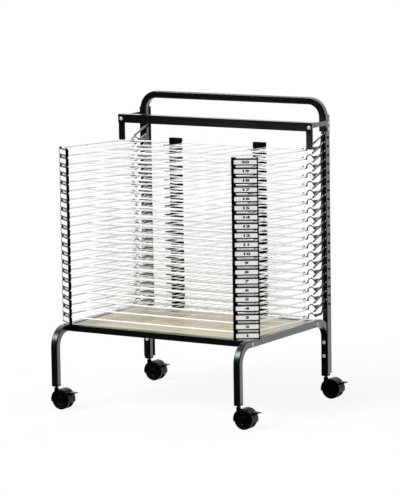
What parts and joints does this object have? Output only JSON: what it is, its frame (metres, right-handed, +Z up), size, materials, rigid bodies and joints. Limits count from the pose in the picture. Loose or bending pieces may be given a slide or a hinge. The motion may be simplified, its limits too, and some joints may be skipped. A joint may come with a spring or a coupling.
{
  "type": "art drying rack",
  "caption": "Wheeled art drying rack: black steel tube stand with push handle, plywood tray, and a stack of hinged white wire shelves with black corner card holders.",
  "frame": {"origin": "centre of the whole rack's footprint box at floor level; the casters trail to +X, so the rack's middle plane lies at X = -0.0257 m", "axes": "+Z up; -Y is the open front where sheets go in; +Y is the push handle at the rear; +X is to the right of somebody who faces the rack's front"},
  "size_m": [0.8504, 0.634, 1.0525],
  "materials": {
    "black_powder_coat": "satin powder coat",
    "plywood": "sealed pale plywood",
    "black_plastic": "satin moulded",
    "zinc_plated_steel": "zinc plated",
    "white_coated_wire": "white plastic dip coating",
    "black_fittings": "black mouldings and painted steel arms",
    "caster_rubber": "matte"
  },
  "bodies": {
    "frame": {"base_frame": "black_powder_coat", "tray_board": "plywood", "leg_plugs": "black_plastic", "rear_uprights": "black_powder_coat", "push_handle": "black_powder_coat", "top_rail": "black_powder_coat", "frame_fasteners": "zinc_plated_steel", "shelf_springs": "zinc_plated_steel"},
    "shelf_body_01": {"shelf_01": "white_coated_wire", "shelf_fittings_01": "black_fittings"},
    "shelf_body_02": {"shelf_02": "white_coated_wire", "shelf_fittings_02": "black_fittings"},
    "shelf_body_03": {"shelf_03": "white_coated_wire", "shelf_fittings_03": "black_fittings"},
    "shelf_body_04": {"shelf_04": "white_coated_wire", "shelf_fittings_04": "black_fittings"},
    "shelf_body_05": {"shelf_05": "white_coated_wire", "shelf_fittings_05": "black_fittings"},
    "shelf_body_06": {"shelf_06": "white_coated_wire", "shelf_fittings_06": "black_fittings"},
    "shelf_body_07": {"shelf_07": "white_coated_wire", "shelf_fittings_07": "black_fittings"},
    "shelf_body_08": {"shelf_08": "white_coated_wire", "shelf_fittings_08": "black_fittings"},
    "shelf_body_09": {"shelf_09": "white_coated_wire", "shelf_fittings_09": "black_fittings"},
    "shelf_body_10": {"shelf_10": "white_coated_wire", "shelf_fittings_10": "black_fittings"},
    "shelf_body_11": {"shelf_11": "white_coated_wire", "shelf_fittings_11": "black_fittings"},
    "shelf_body_12": {"shelf_12": "white_coated_wire", "shelf_fittings_12": "black_fittings"},
    "shelf_body_13": {"shelf_13": "white_coated_wire", "shelf_fittings_13": "black_fittings"},
    "shelf_body_14": {"shelf_14": "white_coated_wire", "shelf_fittings_14": "black_fittings"},
    "shelf_body_15": {"shelf_15": "white_coated_wire", "shelf_fittings_15": "black_fittings"},
    "shelf_body_16": {"shelf_16": "white_coated_wire", "shelf_fittings_16": "black_fittings"},
    "shelf_body_17": {"shelf_17": "white_coated_wire", "shelf_fittings_17": "black_fittings"},
    "shelf_body_18": {"shelf_18": "white_coated_wire", "shelf_fittings_18": "black_fittings"},
    "shelf_body_19": {"shelf_19": "white_coated_wire", "shelf_fittings_19": "black_fittings"},
    "shelf_body_20": {"shelf_20": "white_coated_wire", "shelf_fittings_20": "black_fittings"},
    "front_left_swivel": {"front_left_housing": "black_plastic"},
    "front_left_roller": {"front_left_wheels": "caster_rubber"},
    "front_left_pedal": {"front_left_brake": "black_plastic"},
    "front_right_swivel": {"front_right_housing": "black_plastic"},
    "front_right_roller": {"front_right_wheels": "caster_rubber"},
    "front_right_pedal": {"front_right_brake": "black_plastic"},
    "rear_left_swivel": {"rear_left_housing": "black_plastic"},
    "rear_left_roller": {"rear_left_wheels": "caster_rubber"},
    "rear_left_pedal": {"rear_left_brake": "black_plastic"},
    "rear_right_swivel": {"rear_right_housing": "black_plastic"},
    "rear_right_roller": {"rear_right_wheels": "caster_rubber"},
    "rear_right_pedal": {"rear_right_brake": "black_plastic"}
  },
  "joints": [
    {"name": "shelf_lift_01", "type": "hinge", "parent": "frame", "child": "shelf_body_01", "pos_m": [-0.02567, 0.301, 0.3315], "axis": [-1, 0, 0], "range_deg": [0, 16.58]},
    {"name": "shelf_lift_02", "type": "hinge", "parent": "frame", "child": "shelf_body_02", "pos_m": [-0.02567, 0.301, 0.3622], "axis": [-1, 0, 0], "range_deg": [0, 16.86]},
    {"name": "shelf_lift_03", "type": "hinge", "parent": "frame", "child": "shelf_body_03", "pos_m": [-0.02567, 0.301, 0.3929], "axis": [-1, 0, 0], "range_deg": [0, 17.15]},
    {"name": "shelf_lift_04", "type": "hinge", "parent": "frame", "child": "shelf_body_04", "pos_m": [-0.02567, 0.301, 0.4236], "axis": [-1, 0, 0], "range_deg": [0, 17.43]},
    {"name": "shelf_lift_05", "type": "hinge", "parent": "frame", "child": "shelf_body_05", "pos_m": [-0.02567, 0.301, 0.4543], "axis": [-1, 0, 0], "range_deg": [0, 17.72]},
    {"name": "shelf_lift_06", "type": "hinge", "parent": "frame", "child": "shelf_body_06", "pos_m": [-0.02567, 0.301, 0.485], "axis": [-1, 0, 0], "range_deg": [0, 18.01]},
    {"name": "shelf_lift_07", "type": "hinge", "parent": "frame", "child": "shelf_body_07", "pos_m": [-0.02567, 0.301, 0.5157], "axis": [-1, 0, 0], "range_deg": [0, 18.29]},
    {"name": "shelf_lift_08", "type": "hinge", "parent": "frame", "child": "shelf_body_08", "pos_m": [-0.02567, 0.301, 0.5464], "axis": [-1, 0, 0], "range_deg": [0, 18.58]},
    {"name": "shelf_lift_09", "type": "hinge", "parent": "frame", "child": "shelf_body_09", "pos_m": [-0.02567, 0.301, 0.5771], "axis": [-1, 0, 0], "range_deg": [0, 18.86]},
    {"name": "shelf_lift_10", "type": "hinge", "parent": "frame", "child": "shelf_body_10", "pos_m": [-0.02567, 0.301, 0.6078], "axis": [-1, 0, 0], "range_deg": [0, 19.15]},
    {"name": "shelf_lift_11", "type": "hinge", "parent": "frame", "child": "shelf_body_11", "pos_m": [-0.02567, 0.301, 0.6385], "axis": [-1, 0, 0], "range_deg": [0, 19.44]},
    {"name": "shelf_lift_12", "type": "hinge", "parent": "frame", "child": "shelf_body_12", "pos_m": [-0.02567, 0.301, 0.6692], "axis": [-1, 0, 0], "range_deg": [0, 19.72]},
    {"name": "shelf_lift_13", "type": "hinge", "parent": "frame", "child": "shelf_body_13", "pos_m": [-0.02567, 0.301, 0.6999], "axis": [-1, 0, 0], "range_deg": [0, 20.01]},
    {"name": "shelf_lift_14", "type": "hinge", "parent": "frame", "child": "shelf_body_14", "pos_m": [-0.02567, 0.301, 0.7306], "axis": [-1, 0, 0], "range_deg": [0, 20.29]},
    {"name": "shelf_lift_15", "type": "hinge", "parent": "frame", "child": "shelf_body_15", "pos_m": [-0.02567, 0.301, 0.7613], "axis": [-1, 0, 0], "range_deg": [0, 20.58]},
    {"name": "shelf_lift_16", "type": "hinge", "parent": "frame", "child": "shelf_body_16", "pos_m": [-0.02567, 0.301, 0.792], "axis": [-1, 0, 0], "range_deg": [0, 20.87]},
    {"name": "shelf_lift_17", "type": "hinge", "parent": "frame", "child": "shelf_body_17", "pos_m": [-0.02567, 0.301, 0.8227], "axis": [-1, 0, 0], "range_deg": [0, 21.15]},
    {"name": "shelf_lift_18", "type": "hinge", "parent": "frame", "child": "shelf_body_18", "pos_m": [-0.02567, 0.301, 0.8534], "axis": [-1, 0, 0], "range_deg": [0, 21.44]},
    {"name": "shelf_lift_19", "type": "hinge", "parent": "frame", "child": "shelf_body_19", "pos_m": [-0.02567, 0.301, 0.8841], "axis": [-1, 0, 0], "range_deg": [0, 21.72]},
    {"name": "shelf_lift_20", "type": "hinge", "parent": "frame", "child": "shelf_body_20", "pos_m": [-0.02567, 0.301, 0.9148], "axis": [-1, 0, 0], "range_deg": [0, 22], "deforming": ["shelf_springs"]},
    {"name": "front_left_turn", "type": "hinge", "parent": "frame", "child": "front_left_swivel", "pos_m": [-0.39317, -0.2965, 0.06], "axis": [0, 0, 1], "continuous": true},
    {"name": "front_left_roll", "type": "hinge", "parent": "front_left_swivel", "child": "front_left_roller", "pos_m": [-0.36567, -0.2965, 0.0345], "axis": [0, 1, 0], "continuous": true},
    {"name": "front_left_brake_press", "type": "hinge", "parent": "front_left_swivel", "child": "front_left_pedal", "pos_m": [-0.34382, -0.2965, 0.05037], "axis": [0, 1, 0], "range_deg": [0, 15]},
    {"name": "front_right_turn", "type": "hinge", "parent": "frame", "child": "front_right_swivel", "pos_m": [0.34183, -0.2965, 0.06], "axis": [0, 0, 1], "continuous": true},
    {"name": "front_right_roll", "type": "hinge", "parent": "front_right_swivel", "child": "front_right_roller", "pos_m": [0.36933, -0.2965, 0.0345], "axis": [0, 1, 0], "continuous": true},
    {"name": "front_right_brake_press", "type": "hinge", "parent": "front_right_swivel", "child": "front_right_pedal", "pos_m": [0.39118, -0.2965, 0.05037], "axis": [0, 1, 0], "range_deg": [0, 15]},
    {"name": "rear_left_turn", "type": "hinge", "parent": "frame", "child": "rear_left_swivel", "pos_m": [-0.39317, 0.2965, 0.06], "axis": [0, 0, 1], "continuous": true},
    {"name": "rear_left_roll", "type": "hinge", "parent": "rear_left_swivel", "child": "rear_left_roller", "pos_m": [-0.36567, 0.2965, 0.0345], "axis": [0, 1, 0], "continuous": true},
    {"name": "rear_left_brake_press", "type": "hinge", "parent": "rear_left_swivel", "child": "rear_left_pedal", "pos_m": [-0.34382, 0.2965, 0.05037], "axis": [0, 1, 0], "range_deg": [0, 15]},
    {"name": "rear_right_turn", "type": "hinge", "parent": "frame", "child": "rear_right_swivel", "pos_m": [0.34183, 0.2965, 0.06], "axis": [0, 0, 1], "continuous": true},
    {"name": "rear_right_roll", "type": "hinge", "parent": "rear_right_swivel", "child": "rear_right_roller", "pos_m": [0.36933, 0.2965, 0.0345], "axis": [0, 1, 0], "continuous": true},
    {"name": "rear_right_brake_press", "type": "hinge", "parent": "rear_right_swivel", "child": "rear_right_pedal", "pos_m": [0.39118, 0.2965, 0.05037], "axis": [0, 1, 0], "range_deg": [0, 15]}
  ],
  "couplings": [
    {"joint": "shelf_lift_01", "follows": "shelf_lift_20", "ratio": 0.753},
    {"joint": "shelf_lift_02", "follows": "shelf_lift_20", "ratio": 0.766},
    {"joint": "shelf_lift_03", "follows": "shelf_lift_20", "ratio": 0.779},
    {"joint": "shelf_lift_04", "follows": "shelf_lift_20", "ratio": 0.792},
    {"joint": "shelf_lift_05", "follows": "shelf_lift_20", "ratio": 0.805},
    {"joint": "shelf_lift_06", "follows": "shelf_lift_20", "ratio": 0.818},
    {"joint": "shelf_lift_07", "follows": "shelf_lift_20", "ratio": 0.831},
    {"joint": "shelf_lift_08", "follows": "shelf_lift_20", "ratio": 0.844},
    {"joint": "shelf_lift_09", "follows": "shelf_lift_20", "ratio": 0.857},
    {"joint": "shelf_lift_10", "follows": "shelf_lift_20", "ratio": 0.87},
    {"joint": "shelf_lift_11", "follows": "shelf_lift_20", "ratio": 0.883},
    {"joint": "shelf_lift_12", "follows": "shelf_lift_20", "ratio": 0.896},
    {"joint": "shelf_lift_13", "follows": "shelf_lift_20", "ratio": 0.909},
    {"joint": "shelf_lift_14", "follows": "shelf_lift_20", "ratio": 0.922},
    {"joint": "shelf_lift_15", "follows": "shelf_lift_20", "ratio": 0.935},
    {"joint": "shelf_lift_16", "follows": "shelf_lift_20", "ratio": 0.948},
    {"joint": "shelf_lift_17", "follows": "shelf_lift_20", "ratio": 0.961},
    {"joint": "shelf_lift_18", "follows": "shelf_lift_20", "ratio": 0.974},
    {"joint": "shelf_lift_19", "follows": "shelf_lift_20", "ratio": 0.987}
  ]
}
